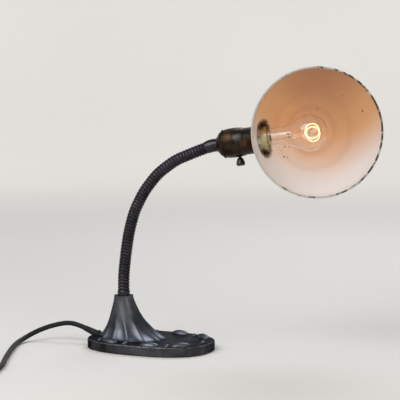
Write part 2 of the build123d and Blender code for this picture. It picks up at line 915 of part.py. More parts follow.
# Stem: a flared glass mount in the neck, drawn out to a rod with a button that holds the wires
flare_radius = bulb_neck_radius - bulb_glass_wall - slip_gap
stem_top = globe_centre - bulb_radius * stem_top_share
with BuildPart() as bulb_stem:
    with BuildSketch(head_plane):
        with BuildLine():
            Polyline(
                (0, glass_start),
                (flare_radius, glass_start),
                (flare_radius, glass_start + bulb_glass_wall),
                (stem_radius, glass_start + flare_radius / 2),
                (stem_radius, stem_top - 2 * stem_radius),
                (stem_button_radius / 2, stem_top - stem_button_radius),
                (stem_button_radius, stem_top),
                (0, stem_top),
                close=True,
            )
        make_face()
    revolve(axis=head_axis)
save(bulb_stem.part, "bulb_stem")

# Filament: loops that face the mouth of the shade, on support wires from the stem's button
filament_centre = head_point(globe_centre + bulb_radius * filament_place_share)
filament_radius = bulb_radius * filament_share
filament_reach = filament_turns * filament_pitch / 2


def filament_station(turn):
    """Point and direction of the filament at a number of turns."""
    angle = 2 * pi * turn
    point = (
        filament_centre
        + along(head_lean) * (-filament_radius * cos(angle))
        + head_up * (filament_radius * sin(angle))
        + Vector(0, turn * filament_pitch - filament_reach, 0)
    )
    way = (
        along(head_lean) * (filament_radius * sin(angle))
        + head_up * (filament_radius * cos(angle))
        + Vector(0, filament_pitch / (2 * pi), 0)
    )
    return point, way.normalized()


def biarc_joint(start, start_way, end, end_way):
    """Point and direction where two arcs meet that run smoothly from start to end."""
    chord = end - start
    both = chord.dot(start_way + end_way)
    bend = 2 * (1 - start_way.dot(end_way))
    reach = (sqrt(both**2 + bend * chord.dot(chord)) - both) / bend
    joint = (start + end + (start_way - end_way) * reach) * 0.5
    way = end - end_way * reach - start - start_way * reach
    return joint, way.normalized()


def smooth_run(stations):
    """Arcs through a list of points and directions, two from each to the next."""
    for (start, start_way), (end, end_way) in zip(stations, stations[1:]):
        joint, joint_way = biarc_joint(start, start_way, end, end_way)
        TangentArc(start, joint, tangent=start_way)
        TangentArc(joint, end, tangent=joint_way)


def least_gap(line, diameter, near):
    """Least gap between stretches of a tube that lie more than a near length apart along it."""
    count = round(line.length / diameter) * 2
    points = [line.position_at(step / count) for step in range(count + 1)]
    skip = round(near / line.length * count)
    return min(
        (a - b).length for place, a in enumerate(points) for b in points[place + skip :]
    ) - diameter


filament_stations = [filament_station(step / 4) for step in range(filament_turns * 4 + 1)]
filament_first, filament_first_way = filament_stations[0]
filament_last, filament_last_way = filament_stations[-1]
with BuildPart() as filament:
    with BuildLine() as filament_line:
        Line(filament_first - filament_first_way * filament_wire * 2, filament_first)
        smooth_run(filament_stations)
        Line(filament_last, filament_last + filament_last_way * filament_wire * 2)
    with BuildSketch(Plane(filament_first - filament_first_way * filament_wire * 2, z_dir=filament_first_way)):
        Circle(filament_wire)
    sweep()
save(filament.part, "filament")
print("filament gap", round(least_gap(filament_line.wires()[0], 2 * filament_wire, filament_radius * pi), 2))

support_ends = [
    filament_first - filament_first_way * (filament_wire * 2 + support_wire),
    filament_last + filament_last_way * (filament_wire * 2 + support_wire),
]
with BuildPart() as filament_supports:
    for side, support_end in zip((-1, 1), support_ends):
        support_root = head_point(stem_top + slip_gap) + Vector(0, side * support_spread, 0)
        support_way = support_end - support_root
        with BuildSketch(Plane(support_root, z_dir=support_way)):
            Circle(support_wire)
        extrude(amount=support_way.length + support_wire)
save(filament_supports.part, "filament_supports")

# Shade: a deep spun dish with a beaded edge, and a collar in its side that seats on the shell
dish_centre = shade_skirt - shade_mouth
dish_reach = shade_radius * sqrt(1 - (dish_centre / shade_depth) ** 2)
seat_place = shade_shoulder + clear_gap
shade_axis_place = seat_place + shade_stand + dish_reach
shade_centre = head_point(shade_axis_place)
shade_plane = Plane(shade_centre, x_dir=along(head_lean), z_dir=head_up)
shade_axis = Axis(shade_centre, (0, 1, 0))
collar_inner = shade_collar_radius - shade_wall


def dish(wall, mouth):
    """Profile of the dish, drawn in by a wall: the skirt at its mouth and a rounded dome to its crown."""
    reach = shade_radius - wall
    crown = dish_centre + shade_depth - wall
    shoulder = dish_centre + (shade_depth - wall) * dome_round_share
    Bezier((reach, dish_centre), (reach, shoulder), (reach * dome_round_share, crown), (0, crown))
    Polyline((0, crown), (0, mouth), (reach, mouth), (reach, dish_centre))


with BuildPart() as shade:
    with BuildSketch(shade_plane):
        with BuildLine():
            dish(0, -shade_mouth)
        make_face()
        with Locations((shade_radius - shade_wall, -shade_mouth)):
            Circle(shade_bead, align=(Align.MIN, Align.CENTER))
    revolve(axis=shade_axis)
    with BuildSketch(cross_plane(head_point(seat_place), head_lean)):
        Circle(shade_collar_radius)
    extrude(amount=shade_axis_place - seat_place - shade_collar_radius)
    with BuildSketch(shade_plane):
        with BuildLine():
            dish(shade_wall, -shade_mouth - cut_over)
        make_face()
    revolve(axis=shade_axis, mode=Mode.SUBTRACT)
    with BuildSketch(cross_plane(head_point(seat_place + shade_hub_wall), head_lean)):
        Circle(collar_inner)
    extrude(amount=shade_axis_place - seat_place, mode=Mode.SUBTRACT)
    with BuildSketch(cross_plane(head_point(seat_place - cut_over), head_lean)):
        Circle(thread_radius + clear_gap)
    extrude(amount=2 * cut_over, mode=Mode.SUBTRACT)
save(shade.part, "shade")

nut_start = seat_place + shade_hub_wall + clear_gap
nut_outer = thread_radius + slip_gap + ring_nut_wall
with BuildPart() as shade_ring_nut:
    with BuildSketch(cross_plane(head_point(nut_start), head_lean)):
        Circle(nut_outer)
        Circle(thread_radius + slip_gap, mode=Mode.SUBTRACT)
    extrude(amount=ring_nut_height)
    with BuildSketch(cross_plane(head_point(nut_start + ring_nut_height), head_lean)):
        with PolarLocations(nut_outer, ring_nut_slots):
            Rectangle(2 * ring_nut_wall + cut_over, ring_nut_slot_width)
    extrude(amount=-ring_nut_slot_depth, mode=Mode.SUBTRACT)
save(shade_ring_nut.part, "shade_ring_nut")

# Grommet in the heel: a bush with a flange and a tapered boot, which the cord comes out of
with BuildPart() as cord_grommet:
    with BuildSketch(Plane(grommet_seat, x_dir=base_plane.y_dir, z_dir=Vector(*base_plane.y_dir).cross(grommet_way))):
        with BuildLine():
            Polyline(
                (0, -grommet_inner),
                (grommet_radius, -grommet_inner),
                (grommet_radius, -grommet_sink),
                (grommet_flange_radius, -grommet_sink),
                (grommet_flange_radius, grommet_flange - grommet_sink),
                (grommet_radius, grommet_flange),
                (grommet_tip_radius, grommet_boot),
                (0, grommet_boot),
                close=True,
            )
        make_face()
    revolve(axis=Axis(grommet_seat, grommet_way))
save(cord_grommet.part, "cord_grommet")

# Flex: from the grommet across the well, up the nipple and through the neck to the porcelain
flex_start = grommet_seat - grommet_way * grommet_inner
flex_low = felt_top + flex_radius + clear_gap
flex_corner = flex_start - grommet_way * ((flex_start.Z - flex_low) / sin(radians(grommet_rise)))
flex_foot = Vector(0, 0, flex_low + flex_rise)
flex_corners = [flex_start, flex_corner, flex_foot]


def corner_radii(points):
    """Largest arc at each corner of a route that its two runs leave room for."""
    radii = []
    for before, here, after in zip(points, points[1:], points[2:]):
        turn = (here - before).get_angle(after - here)
        shorter = min((here - before).length, (after - here).length)
        radii.append(0.45 * shorter / tan(radians(turn / 2)))
    return radii


with BuildPart() as inner_flex:
    with BuildLine() as flex_line:
        low_points = [*flex_corners, neck_start]
        FilletPolyline(*low_points, radius=corner_radii(low_points))
        for index in range(link_count):
            lean_from = neck_leans[index]
            lean_to = neck_leans[index + 1]
            Line(pivots[index], seat_ends[index])
            ThreePointArc(
                seat_ends[index],
                arc_point(seat_ends[index], lean_from, lean_to, arc_run, arc_run / 2)[0],
                pivots[index + 1],
            )
        Line(pivots[-1], bend_start)
        ThreePointArc(bend_start, bend_middle, bend_end)
        Line(bend_end, head_point(porcelain_start + porcelain_wire_bore))
    with BuildSketch(Plane(flex_start, z_dir=flex_corner - flex_start)):
        Circle(flex_radius)
    sweep()
save(inner_flex.part, "inner_flex")

# Cord: straight out of the boot, down to the table and along it to the coil
coil_floor = tie_wall + tie_gap + cord_radius
coil_step = 2 * cord_radius + coil_space
coil_rate = coil_step / (2 * pi)
coil_inner = coil_radius - coil_turns * coil_step
coil_centre = Vector(coil_centre_x, coil_centre_y, coil_floor)
boot_tip = grommet_seat + grommet_way * grommet_boot


def coil_station(turn):
    """Point and direction of the coil: in on the table, up in half a turn, and out on top."""
    angle = 2 * pi * turn
    middle = coil_turns + 0.25
    if turn < middle:
        radius, rate = coil_radius - coil_step * turn, -coil_rate
    else:
        radius, rate = coil_inner + coil_step * (turn - coil_turns - 0.5), coil_rate
    climb = min(max((turn - coil_turns) * 2, 0), 1)
    height = coil_step * climb**2 * (3 - 2 * climb)
    lift = coil_step * 6 * climb * (1 - climb) / pi
    if turn == middle:
        rate = 0
    outwards = Vector(cos(angle), -sin(angle), 0)
    onwards = Vector(-sin(angle), -cos(angle), 0)
    way = outwards * rate + onwards * radius + Vector(0, 0, lift)
    return coil_centre + outwards * radius + Vector(0, 0, height), way.normalized()


coil_quarters = (2 * coil_turns) * 4 + 2
coil_stations = [coil_station(quarter / 4) for quarter in range(coil_quarters + 1)]
coil_first, coil_first_way = coil_stations[0]
coil_last, coil_last_way = coil_stations[-1]
coil_start = coil_first - coil_first_way * 2 * cord_radius
coil_finish = coil_last + coil_last_way * 2 * cord_radius
with BuildPart() as cord_coil:
    with BuildLine() as coil_line:
        Line(coil_start, coil_first)
        smooth_run(coil_stations)
        Line(coil_last, coil_finish)
    with BuildSketch(Plane(coil_start, z_dir=coil_first_way)):
        Circle(cord_radius)
    sweep()
save(cord_coil.part, "cord_coil")
print("coil gap", round(least_gap(coil_line.wires()[0], 2 * cord_radius, coil_inner * pi), 2))

lead_points = [boot_tip, boot_tip + grommet_way * cord_straight]
lead_points += [Vector(*point) for point in cord_route]
lead_points += [coil_start - coil_first_way * coil_lead_in, coil_start]
lead_radii = corner_radii(lead_points)
with BuildPart() as cord_lead:
    with BuildLine() as lead_line:
        FilletPolyline(*lead_points, radius=lead_radii)
    with BuildSketch(Plane(boot_tip, z_dir=grommet_way)):
        Circle(cord_radius)
    sweep()
save(cord_lead.part, "cord_lead")
print("cord radii", [round(radius, 1) for radius in lead_radii])
print("cord runs", [round((b - a).length, 1) for a, b in zip(lead_points, lead_points[1:])])
for name, piece, line in (("lead", cord_lead, lead_line), ("coil", cord_coil, coil_line)):
    length = line.wires()[0].length
    print(name, round(length, 1), "volume over section times length", piece.part.volume / (pi * cord_radius**2 * length))
print("route", [tuple(round(value, 2) for value in point) for point in lead_points])
print("coil", tuple(coil_first), tuple(coil_first_way), tuple(coil_finish))

# Tie round the far side of the coil
bundle_inner = coil_inner + coil_step * 0.25 - cord_radius - 2 * tie_gap
bundle_outer = coil_radius - coil_step * 0.75 + cord_radius + 2 * tie_gap
bundle_low = tie_wall
bundle_high = coil_floor + coil_step + cord_radius + tie_gap
with BuildPart() as coil_tie:
    with BuildSketch(Plane((coil_centre_x, 0, 0), x_dir=(0, 1, 0), z_dir=(1, 0, 0))):
        with Locations((coil_centre_y + (bundle_inner + bundle_outer) / 2, (bundle_low + bundle_high) / 2)):
            RectangleRounded(
                bundle_outer - bundle_inner + 2 * tie_wall, bundle_high - bundle_low + 2 * tie_wall, tie_corner
            )
            RectangleRounded(
                bundle_outer - bundle_inner, bundle_high - bundle_low, tie_corner - tie_wall, mode=Mode.SUBTRACT
            )
    extrude(amount=tie_width / 2, both=True)
save(coil_tie.part, "coil_tie")

# Plug: tapered strain relief, round body and two blades, lying beside the coil
plug_profile = Plane(coil_finish, x_dir=(0, 0, 1), z_dir=Vector(0, 0, 1).cross(coil_last_way))
plug_axis = Axis(coil_finish, coil_last_way)
plug_end = relief_length + plug_length
with BuildPart() as plug_relief:
    with BuildSketch(plug_profile):
        with BuildLine():
            Polyline(
                (0, 0), (relief_radius, 0), (relief_end_radius, relief_length), (0, relief_length), close=True
            )
        make_face()
    revolve(axis=plug_axis)
save(plug_relief.part, "plug_relief")

blade_plane = Plane(coil_finish + coil_last_way * (plug_end - blade_hold), x_dir=(0, 0, 1), z_dir=coil_last_way)
with BuildPart() as plug_body:
    with BuildSketch(plug_profile):
        with BuildLine():
            Polyline(
                (0, relief_length),
                (plug_neck_radius, relief_length),
                (plug_radius, relief_length + plug_shoulder),
                (plug_radius, plug_end),
                (0, plug_end),
                close=True,
            )
        make_face()
    revolve(axis=plug_axis)
    with BuildSketch(blade_plane):
        with GridLocations(0, blade_spacing, 1, 2):
            Rectangle(blade_width, blade_thickness)
    extrude(amount=blade_hold + cut_over, mode=Mode.SUBTRACT)
save(plug_body.part, "plug_body")

with BuildPart() as plug_blades:
    with BuildSketch(blade_plane):
        with GridLocations(0, blade_spacing, 1, 2):
            Rectangle(blade_width, blade_thickness)
    extrude(amount=blade_hold + blade_length)
save(plug_blades.part, "plug_blades")
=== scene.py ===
from math import cos, pi, radians, sin

import bmesh
import bpy
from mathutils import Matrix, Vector


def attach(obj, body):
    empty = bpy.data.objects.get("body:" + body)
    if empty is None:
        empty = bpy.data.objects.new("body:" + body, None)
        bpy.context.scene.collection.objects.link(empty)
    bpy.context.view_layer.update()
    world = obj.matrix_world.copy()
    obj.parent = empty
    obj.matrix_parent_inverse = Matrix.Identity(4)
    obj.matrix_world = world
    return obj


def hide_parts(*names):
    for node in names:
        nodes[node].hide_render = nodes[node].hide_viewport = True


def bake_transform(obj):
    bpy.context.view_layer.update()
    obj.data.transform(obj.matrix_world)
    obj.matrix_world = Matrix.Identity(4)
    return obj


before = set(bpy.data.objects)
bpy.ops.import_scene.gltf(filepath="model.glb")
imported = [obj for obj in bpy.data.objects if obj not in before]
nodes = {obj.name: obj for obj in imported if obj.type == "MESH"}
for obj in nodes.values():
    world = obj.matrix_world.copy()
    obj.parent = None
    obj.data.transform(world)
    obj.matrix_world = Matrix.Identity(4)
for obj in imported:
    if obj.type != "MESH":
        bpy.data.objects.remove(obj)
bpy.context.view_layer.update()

# The studio: a round sweep of pale paper under three soft lamps. The camera stands as it did for
# the photograph: to the right of the column, as high as the shade, looking slightly down.
mm = 0.001
scene = bpy.context.scene
scene.view_settings.view_transform = "Standard"
viewpoint = bpy.data.objects.new("viewpoint", bpy.data.cameras.new("viewpoint"))
viewpoint.data.sensor_width = 36
viewpoint.data.lens = 115.2
viewpoint.location = (0.3143, -1.55375, 0.29869)
viewpoint.rotation_euler = (radians(85.8), 0, radians(8))
scene.collection.objects.link(viewpoint)
scene.camera = viewpoint


def linear(colour):
    """A hex colour as it is written on screen, turned to linear light."""
    shares = [int(colour[start : start + 2], 16) / 255 for start in (1, 3, 5)]
    return [(s / 12.92 if s <= 0.04045 else ((s + 0.055) / 1.055) ** 2.4) for s in shares] + [1]


def feed(tree, node, inputs):
    """Links or sets a node's inputs."""
    for name, value in inputs.items():
        if isinstance(value, bpy.types.NodeSocket):
            tree.links.new(value, node.inputs[name])
        else:
            node.inputs[name].default_value = value


def add(tree, kind, inputs, **settings):
    """The outputs of a new shader node with these settings and inputs."""
    made = tree.nodes.new("ShaderNode" + kind)
    for name, value in settings.items():
        setattr(made, name, value)
    feed(tree, made, inputs)
    return made.outputs


def new_material(name):
    """A node material, with its tree, its main shader and the place on the object in metres."""
    made = bpy.data.materials.new(name)
    made.use_nodes = True
    tree = made.node_tree
    return made, tree, tree.nodes["Principled BSDF"], add(tree, "TexCoord", {})["Object"]


def mottled(tree, place, size, first, second, detail=2, ragged=0.5, swirl=0):
    """A noise of a size in metres, and the colour that it makes between two tones."""
    shape = {"Detail": detail, "Roughness": ragged, "Distortion": swirl}
    noise = add(tree, "TexNoise", {"Vector": place, "Scale": 1 / size, **shape})["Fac"]
    tones = {0: noise, 6: linear(first), 7: linear(second)}
    return noise, add(tree, "Mix", tones, data_type="RGBA")[2]


def new_piece(name, mesh):
    """An object that holds a finished bmesh, shaded smooth."""
    data = bpy.data.meshes.new(name)
    for face in mesh.faces:
        face.smooth = True
    mesh.to_mesh(data)
    mesh.free()
    made = bpy.data.objects.new(name, data)
    scene.collection.objects.link(made)
    return made


# Paper: matt and faintly cloudy, and paler to the eye and in mirrors the further off it is
paper, tree, shader, place = new_material("pale_paper")
_, tone = mottled(tree, place, 900 * mm, "#dcd9d4", "#e4e1dc")
rays = add(tree, "LightPath", {})
seen = {0: rays["Is Camera Ray"], 1: rays["Is Glossy Ray"]}
seen = {0: add(tree, "Math", seen, operation="MAXIMUM")[0], 1: rays["Is Transmission Ray"]}
seen = add(tree, "Math", seen, operation="MAXIMUM")[0]
far = add(tree, "VectorMath", {0: place}, operation="LENGTH")["Value"]
paling = {"Value": far, "From Min": 0.5, "From Max": 3.6, "To Max": 0.6}
paleness = add(tree, "MapRange", paling, interpolation_type="SMOOTHSTEP")[0]
paleness = add(tree, "Math", {0: seen, 1: paleness}, operation="MULTIPLY")[0]
feed(tree, shader, {"Base Color": tone, "Emission Color": tone, "Emission Strength": paleness})
feed(tree, shader, {"Roughness": 0.9})

sweep_radius = 5
sweep_height = 2
sweep_bend = 1.9
sweep = bmesh.new()
bmesh.ops.create_circle(sweep, cap_ends=True, segments=96, radius=sweep_radius)
rim = list(sweep.edges)
wall = bmesh.ops.extrude_edge_only(sweep, edges=rim)["geom"]
wall_top = [part for part in wall if isinstance(part, bmesh.types.BMVert)]
bmesh.ops.translate(sweep, vec=(0, 0, sweep_height), verts=wall_top)
bmesh.ops.bevel(
    sweep, geom=rim, offset=sweep_bend, affect="EDGES", segments=24, profile=0.5, material=-1
)
bmesh.ops.recalc_face_normals(sweep, faces=sweep.faces)
backdrop = new_piece("paper_sweep", sweep)
backdrop.data.materials.append(paper)

studio = bpy.data.worlds.new("studio")
studio.use_nodes = True
scene.world = studio
tree = studio.node_tree
feed(tree, tree.nodes["Background"], {"Color": linear("#e8eaee"), "Strength": 0.42})

lamps_aim = Vector((0.1, 0, 0.15))
for name, where, size, power, colour in (
    ("key_lamp", (-0.8, -1.4, 1.65), 1.7, 32, "#ffffff"),
    ("fill_lamp", (2.1, -2.3, 1.6), 1.8, 24, "#fff6ea"),
    ("back_lamp", (0.4, 1.2, 1.6), 1.0, 14, "#f2f6ff"),
):
    lamp = bpy.data.objects.new(name, bpy.data.lights.new(name, "AREA"))
    lamp.data.size = size
    lamp.data.energy = power
    lamp.data.color = linear(colour)[:3]
    lamp.location = where
    lamp.rotation_euler = (lamps_aim - lamp.location).to_track_quat("-Z", "Y").to_euler()
    scene.collection.objects.link(lamp)

# The base: one iron casting, a fluted horn that flares out of the column into a flat oval foot
# with a band round its edge and ovals and beads on its top. It is finished in a bronze patina.
foot_edge = 11.4 * mm
foot_edge_half = 0.5 * mm
foot_top = 12.3 * mm
ornament_top = 14 * mm
horn_foot = 15 * mm
horn_waist = 26 * mm


def dress(finish, *names):
    """Gives CAD nodes a finish in place of the plain one that they came with."""
    for name in names:
        nodes[name].data.materials.clear()
        nodes[name].data.materials.append(finish)


def worn_metal(name, dark, light, patch, smooth, dull, grain, depth):
    """A metal in two tones by patches of a size, with smooth and dull places and a fine grain."""
    made, tree, shader, place = new_material(name)
    wear = {"Vector": place, "Scale": 1 / patch, "Detail": 6, "Roughness": 0.62}
    wear = add(tree, "TexNoise", wear)["Fac"]
    share = add(tree, "MapRange", {"Value": wear, "From Min": 0.34, "From Max": 0.66})[0]
    tones = {0: share, 6: linear(dark), 7: linear(light)}
    tone = add(tree, "Mix", tones, data_type="RGBA")[2]
    rough = {"Value": wear, "From Min": 0.3, "From Max": 0.7, "To Min": dull, "To Max": smooth}
    rough = add(tree, "MapRange", rough)[0]
    grit = add(tree, "TexNoise", {"Vector": place, "Scale": 1 / grain, "Detail": 3})["Fac"]
    bump = add(tree, "Bump", {"Height": grit, "Strength": 0.35, "Distance": depth})[0]
    feed(tree, shader, {"Base Color": tone, "Roughness": rough, "Normal": bump, "Metallic": 1})
    return made, tree, shader, place, tone


# Bronze patina on cast iron: dark grey with a sand-cast grain, scuffed to bare metal along the
# edge of the foot, and a lighter silver on the ornaments and the foot of the horn, partly rubbed
# metal and partly a painted highlight
bronze, tree, shader, place, tone = worn_metal(
    "bronze_patina", "#2b2b2c", "#54555a",
    patch=26 * mm, smooth=0.31, dull=0.47, grain=1.3 * mm, depth=0.1 * mm,
)
height = add(tree, "SeparateXYZ", {"Vector": place})["Z"]
at_edge = add(tree, "Math", {0: height, 1: foot_edge, 2: foot_edge_half}, operation="COMPARE")[0]
scuffs = {"Vector": place, "Scale": 1 / (6 * mm), "Detail": 5, "Roughness": 0.7}
scuffs = add(tree, "TexNoise", scuffs)["Fac"]
scuffed = {"Value": scuffs, "From Min": 0.38, "From Max": 0.6, "To Max": 0.8}
scuffed = add(tree, "MapRange", scuffed)[0]
scuffed = add(tree, "Math", {0: at_edge, 1: scuffed}, operation="MULTIPLY")[0]
tone = add(tree, "Mix", {0: scuffed, 6: tone, 7: linear("#8e8f93")}, data_type="RGBA")[2]
# Partly rubbed metal, partly painted highlight: the ornaments and the foot of the horn turn silver
raised = {"Value": height, "From Min": foot_top, "From Max": ornament_top}
raised = add(tree, "MapRange", raised)[0]
rubbed = {"Value": height, "From Min": horn_foot, "From Max": horn_waist}
rubbed = add(tree, "MapRange", {**rubbed, "To Min": 0.42, "To Max": 0.13})[0]
rubbed = add(tree, "Math", {0: raised, 1: rubbed}, operation="MULTIPLY")[0]
tone = add(tree, "Mix", {0: rubbed, 6: tone, 7: linear("#838a94")}, data_type="RGBA")[2]
feed(tree, shader, {"Base Color": tone, "Specular Tint": linear("#9a9a9d")})
dress(bronze, "base_casting")

# The felt pad: a sheet of dark green wool felt, cut to the foot and glued into its underside.
# It keeps the iron off the table, and only its edge shows.
felt, tree, shader, place = new_material("wool_felt")
fibre, tone = mottled(tree, place, 0.8 * mm, "#1c2a22", "#3a4a3e", detail=6, ragged=0.7)
bump = add(tree, "Bump", {"Height": fibre, "Strength": 0.6, "Distance": 0.3 * mm})[0]
feed(tree, shader, {"Base Color": tone, "Normal": bump, "Roughness": 0.95, "Sheen Weight": 0.3})
dress(felt, "felt_pad")

# The nipple: a threaded steel tube that ties the neck to the base from inside the column, with a
# washer and a nut under it.
# Zinc-plated steel: light grey, dulled in patches
zinc, *_ = worn_metal(
    "dulled_zinc_steel", "#77777a", "#a3a3a3",
    patch=6 * mm, smooth=0.3, dull=0.5, grain=0.5 * mm, depth=0.03 * mm,
)
dress(zinc, "neck_nipple", "lock_washer", "lock_nut")

# The neck: a gooseneck hose of hard steel, wound from a round wire and a wedge of wire that
# locks it, so its ribs run round it as one long screw. It stands in a turned collar, bends
# anywhere and stays as it is put.
hose_leans = [radians(lean) for lean in (0, 5.9, 8.5, 14.8, 26.5, 37.9, 52.7, 67.5, 69)]
hose_bends = len(hose_leans) - 1
hose_foot = Vector((0, 0, 70 * mm))
hose_straight = 7.86 * mm
hose_arc = 19.65 * mm
hose_link = hose_straight + hose_arc
hose_tail = 5 * mm
rib_pitch = 3.93 * mm
rib_crest = 7.35 * mm
rib_groove = 6.25 * mm
rib_rings = 10
hose_sides = 48
seam_gap = 0.01 * mm
groove_shade_share = 0.9


def hose_spot(run):
    """The middle of the hose and its lean at a run along it from the collar."""
    spot = hose_foot.copy()
    for lean, next_lean in zip(hose_leans, hose_leans[1:] + hose_leans[-1:]):
        step = min(run, hose_straight)
        spot += Vector((sin(lean), 0, cos(lean))) * step
        run -= step
        step = min(run, hose_arc)
        turn = (next_lean - lean) * step / hose_arc
        if turn:
            aside = cos(lean) - cos(lean + turn)
            spot += Vector((aside, 0, sin(lean + turn) - sin(lean))) * (step / turn)
        run -= step
        if run <= 0:
            return spot, lean + turn


# Gunmetal: blued steel gone grey, with a violet cast, smooth on the crests of the ribs, with
# painted shade that darkens the grooves between them towards black
gunmetal, tree, shader, place, tone = worn_metal(
    "gunmetal_steel", "#252427", "#434147",
    patch=14 * mm, smooth=0.32, dull=0.46, grain=0.7 * mm, depth=0.03 * mm,
)
# Painted shade: the grooves between the ribs are darkened towards black
groove = add(tree, "Attribute", {}, attribute_name="groove")["Fac"]
tone = add(tree, "Mix", {0: groove, 6: tone, 7: linear("#0b0a0b")}, data_type="RGBA")[2]
feed(tree, shader, {"Base Color": tone})
dress(gunmetal, "neck_collar")
for bend in range(hose_bends + 1):
    hose_start = max(bend * hose_link - hose_arc / 2, 0)
    hose_end = (bend + 1) * hose_link - hose_arc / 2
    if bend == hose_bends:
        hose_end = bend * hose_link + hose_tail
    rings = round((hose_end - hose_start) / rib_pitch * rib_rings)
    hose = bmesh.new()
    bmesh.ops.create_grid(hose, x_segments=rings, y_segments=hose_sides, size=0.5)
    groove_shade = hose.verts.layers.float.new("groove")
    for vert in hose.verts:
        run = hose_start + (hose_end - hose_start) * (vert.co.x + 0.5)
        angle = 2 * pi * (vert.co.y + 0.5)
        off_crest = 2 * ((run / rib_pitch + vert.co.y + 0.5) % 1) - 1
        reach = rib_groove + (rib_crest - rib_groove) * max(1 - off_crest**2, 0) ** 0.5
        # Painted shade share, highest in the grooves between the ribs
        vert[groove_shade] = groove_shade_share * off_crest**4
        spot, lean = hose_spot(run)
        across = Vector((cos(angle) * cos(lean), sin(angle), -cos(angle) * sin(lean)))
        vert.co = spot + reach * across
    bmesh.ops.remove_doubles(hose, verts=hose.verts, dist=seam_gap)
    bmesh.ops.holes_fill(hose, edges=[edge for edge in hose.edges if edge.is_boundary])
    bmesh.ops.recalc_face_normals(hose, faces=hose.faces)
    length = new_piece(f"neck_hose_{bend + 1}", hose)
    length.data.materials.append(gunmetal)
    if bend == 0:
        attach(length, "base")
        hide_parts("neck_link_1", "inner_flex")
    else:
        bend_end = min(bend * hose_link + hose_arc / 2, hose_end)
        hose_spot(hose_start)[0]
        hose_spot(bend_end)[0]
        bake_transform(length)
        if bend < hose_bends:
            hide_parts(f"neck_link_{bend + 1}")

# The lampholder: a pressed brass cap and a shell that snaps into it, on a bent ferrule with a
# set screw. The brass has gone brown and green with age, and fingers have rubbed it bright.
head_lean = radians(82.4)
head_end = Vector((0.11899, 0, 0.25144))
head_way = Vector((sin(head_lean), 0, cos(head_lean)))
head_up = Vector((-cos(head_lean), 0, sin(head_lean)))
kept_bright_from = head_end.dot(head_way) + 50 * mm
kept_bright_fade = 1 * mm
# Oxidised brass: brown black in patches, paler where it is rubbed, and straw yellow on the end
# that the shade has kept from the air
old_brass, tree, shader, place, tone = worn_metal(
    "oxidised_brass", "#221c16", "#41352a",
    patch=9 * mm, smooth=0.28, dull=0.46, grain=0.8 * mm, depth=0.05 * mm,
)
ragged = {"Vector": place, "Scale": 1 / (4 * mm), "Detail": 5, "Roughness": 0.65}
ragged = add(tree, "TexNoise", ragged)["Fac"]
for rubbed_at, rubbed_size, rubbed in (
    ((0.130, -0.013, 0.264), 0.008, "#4d3a28"),
    ((0.144, -0.016, 0.261), 0.008, "#50524e"),
    ((0.151, -0.015, 0.254), 0.007, "#57402a"),
):
    near = add(tree, "VectorMath", {0: place, 1: rubbed_at}, operation="DISTANCE")["Value"]
    edge = add(tree, "Math", {0: ragged, 1: rubbed_size, 2: near}, operation="MULTIPLY_ADD")[0]
    fade = {"From Min": rubbed_size * 1.35, "From Max": rubbed_size * 0.9, "To Max": 0.85}
    share = add(tree, "MapRange", {"Value": edge, **fade})[0]
    tone = add(tree, "Mix", {0: share, 6: tone, 7: linear(rubbed)}, data_type="RGBA")[2]
along = add(tree, "VectorMath", {0: place, 1: head_way}, operation="DOT_PRODUCT")["Value"]
fade = {"From Min": kept_bright_from, "From Max": kept_bright_from + kept_bright_fade, "To Max": 0.9}
share = add(tree, "MapRange", {"Value": along, **fade})[0]
tone = add(tree, "Mix", {0: share, 6: tone, 7: linear("#c9bd98")}, data_type="RGBA")[2]
feed(tree, shader, {"Base Color": tone})
dress(old_brass, "socket_cap", "socket_shell")
# Blackened brass: nearly black, smoother than the shell
dark_brass, *_ = worn_metal(
    "blackened_brass", "#232122", "#3f3b3c",
    patch=11 * mm, smooth=0.2, dull=0.34, grain=0.6 * mm, depth=0.02 * mm,
)
dress(dark_brass, "upper_ferrule")
dress(zinc, "set_screw")

# The inside of the lampholder: a glazed porcelain body with brass terminal screws, a threaded
# brass shell and a springy centre contact, in a sleeve of vulcanised fibre.
# Glazed porcelain: white, with a wet gloss and a faint warm clouding in the glaze
porcelain, tree, shader, place = new_material("glazed_porcelain")
_, tone = mottled(tree, place, 8 * mm, "#d8d3c8", "#efece4", detail=3)
feed(tree, shader, {"Base Color": tone, "Roughness": 0.12})
dress(porcelain, "socket_body")
# Vulcanised fibre: pressed brown board with short fibres in it
fibre_board, tree, shader, place = new_material("vulcanised_fibre")
_, tone = mottled(tree, place, 1.5 * mm, "#3d2c20", "#6b4f3a", detail=5, ragged=0.7)
feed(tree, shader, {"Base Color": tone, "Roughness": 0.7})
dress(fibre_board, "insulating_liner")
# Plain brass: yellow, a little dulled, with a fine grain
brass, *_ = worn_metal(
    "dulled_brass", "#8f7440", "#c2a25c",
    patch=7 * mm, smooth=0.22, dull=0.4, grain=0.5 * mm, depth=0.02 * mm,
)
dress(brass, "screw_shell", "centre_contact", "terminal_screws")

# The turn switch: a small bell-shaped knob of moulded phenolic on a brass spindle, which passes
# through the shell to the porcelain.
# Moulded phenolic: brown black with a soft polish and faint filler marbling
phenolic, tree, shader, place = new_material("moulded_phenolic")
_, tone = mottled(tree, place, 3 * mm, "#14110f", "#2b2420", detail=4, swirl=1.5)
feed(tree, shader, {"Base Color": tone, "Roughness": 0.3})
dress(phenolic, "switch_knob")
dress(dark_brass, "switch_spindle")

